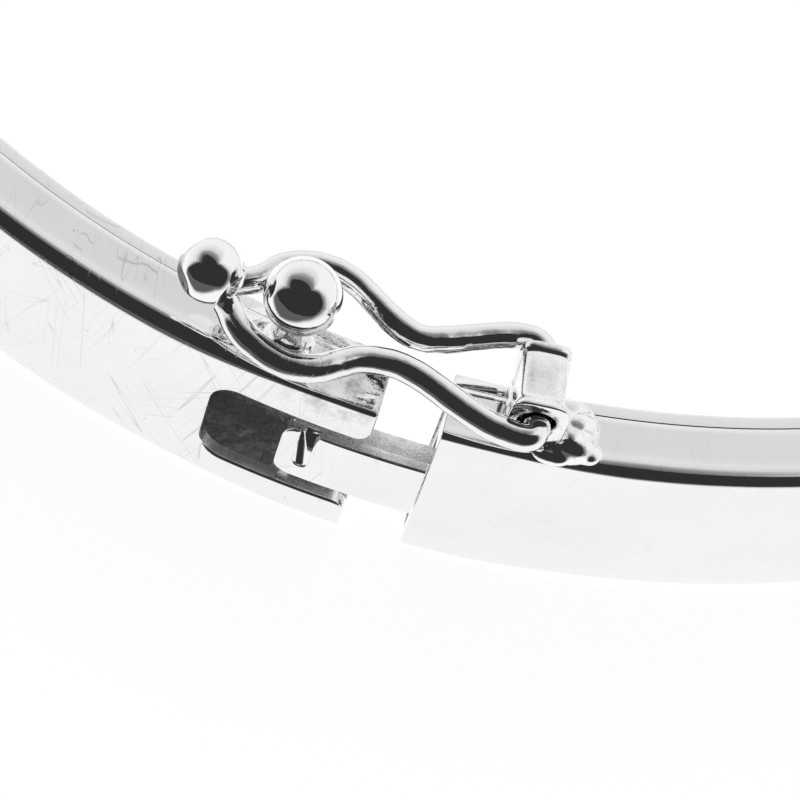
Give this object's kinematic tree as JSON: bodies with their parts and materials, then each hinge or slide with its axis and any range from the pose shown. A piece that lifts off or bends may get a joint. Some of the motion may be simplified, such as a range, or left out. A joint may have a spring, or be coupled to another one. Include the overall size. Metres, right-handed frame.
{
  "type": "hinged bangle bracelet",
  "caption": "Hollow oval hinged bangle in polished silver, with a push-in tongue clasp and a figure-eight wire safety catch over a ball.",
  "frame": {"origin": "centre of the oval on the plane the bangle lies on", "axes": "+Z along the ring's axis, the safety catch on top; the clasp faces -Y, the hinge +Y, the half with the tongue is on +X"},
  "size_m": [0.062, 0.0566, 0.0101],
  "materials": {
    "polished_silver": "polished silver with fine scratches",
    "worn_silver": "filed and worn silver",
    "oxidised_silver": "tarnished silver inside the clasp",
    "silver_solder": "lumpy silver solder"
  },
  "bodies": {
    "box_half": {"box_half_outer_shell": "polished_silver", "box_half_inner_liner": "polished_silver", "box_half_stop_plate": "oxidised_silver", "box_half_hinge_end_cap": "worn_silver", "latch_bar_upper": "oxidised_silver", "latch_bar_lower": "oxidised_silver", "hinge_knuckle_lower": "worn_silver", "hinge_knuckle_upper": "worn_silver", "hinge_pin": "worn_silver", "catch_ball": "polished_silver", "catch_ball_solder": "silver_solder"},
    "tongue_half": {"tongue_half_outer_shell": "polished_silver", "tongue_half_inner_liner": "polished_silver", "tongue_half_clasp_end_plate": "worn_silver", "tongue_half_hinge_end_cap": "worn_silver", "tongue_root_block": "oxidised_silver", "hinge_knuckle_middle": "worn_silver", "catch_post": "worn_silver", "catch_post_solder": "silver_solder"},
    "tongue": {"tongue_strip": "polished_silver", "tongue_spring_leaf": "oxidised_silver"},
    "safety_catch": {"catch_wire": "polished_silver", "catch_tip_ball": "polished_silver"}
  },
  "joints": [
    {"name": "main_hinge", "type": "hinge", "parent": "box_half", "child": "tongue_half", "pos_m": [0, 0.02719, 0.00328], "axis": [0, 0, 1], "range_deg": [-1.1, 70]},
    {"name": "tongue_press", "type": "hinge", "parent": "tongue_half", "child": "tongue", "pos_m": [0.0016, -0.02718, 0.00328], "axis": [0, 0, -1], "range_deg": [0, 5], "stiffness_Nm_per_rad": 0.05},
    {"name": "safety_catch_hinge", "type": "hinge", "parent": "tongue_half", "child": "safety_catch", "pos_m": [0.00344, -0.02607, 0.0078], "axis": [-0.1056, 0.9944, 0], "range_deg": [0, 165]}
  ]
}
